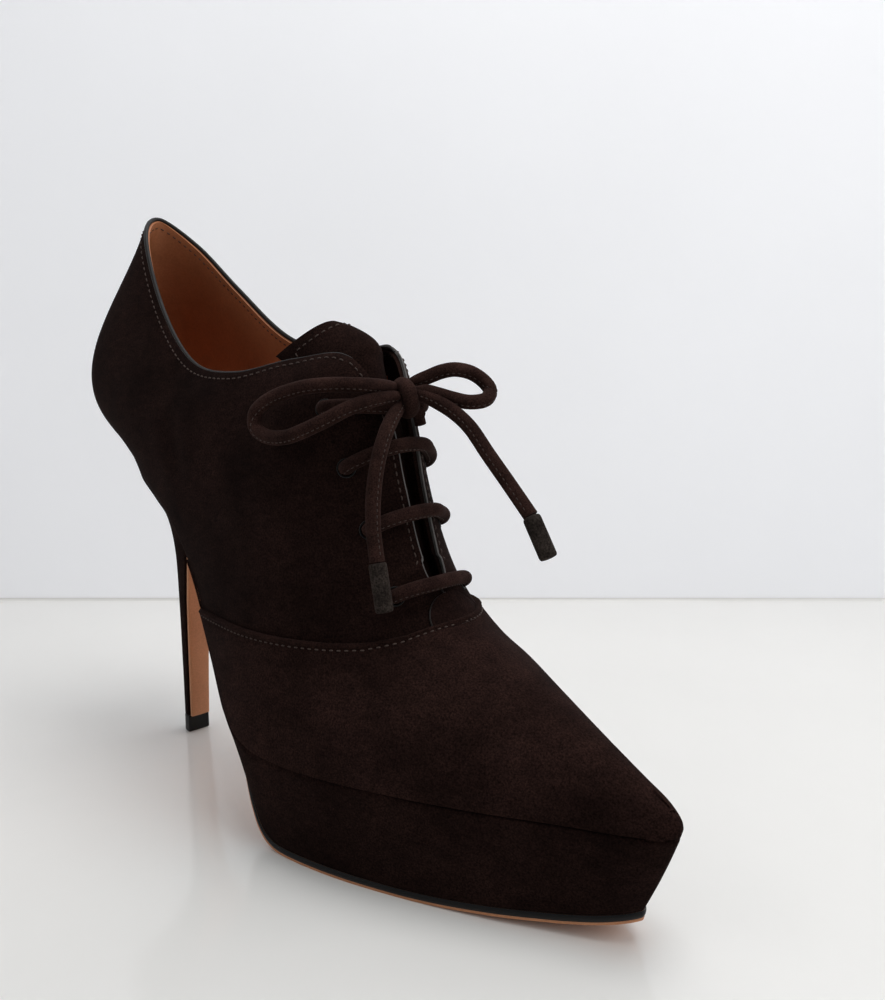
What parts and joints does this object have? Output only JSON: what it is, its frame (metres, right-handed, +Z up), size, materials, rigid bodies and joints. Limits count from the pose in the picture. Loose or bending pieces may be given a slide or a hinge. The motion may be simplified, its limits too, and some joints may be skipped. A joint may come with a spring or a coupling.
{
  "type": "lace up heel",
  "caption": "Right platform lace-up shoe with a pointed toe, a slim covered heel, a laced throat with a tongue and a bow, and a hollow upper open at the collar.",
  "frame": {"origin": "on the floor under the middle of the forefoot's flat spot, on the shoe's long axis", "axes": "+X to the toe, +Y to the wearer's left, which is the inner side of this right shoe, +Z up"},
  "size_m": [0.2496, 0.0802, 0.1939],
  "materials": {
    "suede": "matte suede nap",
    "lining": "satin lining leather",
    "sole_leather": "smooth sole leather",
    "heel_lift": "matte",
    "lace": "matte suede cord",
    "lace_tip": "matte wrapped tip"
  },
  "bodies": {
    "root": {"outsole": "sole_leather", "platform": "suede", "insole": "lining", "upper": "suede", "throat_tab": "suede", "tongue": "suede", "heel": "suede", "heel_breast": "sole_leather", "heel_lift": "heel_lift", "lace_row_1_outer": "lace", "lace_row_1_inner": "lace", "lace_row_2": "lace", "lace_row_3": "lace", "lace_row_4": "lace", "lace_knot": "lace", "lace_loop_left": "lace", "lace_loop_right": "lace", "lace_tail_left": "lace", "lace_tail_right": "lace", "lace_tip_left": "lace_tip", "lace_tip_right": "lace_tip"}
  },
  "joints": []
}
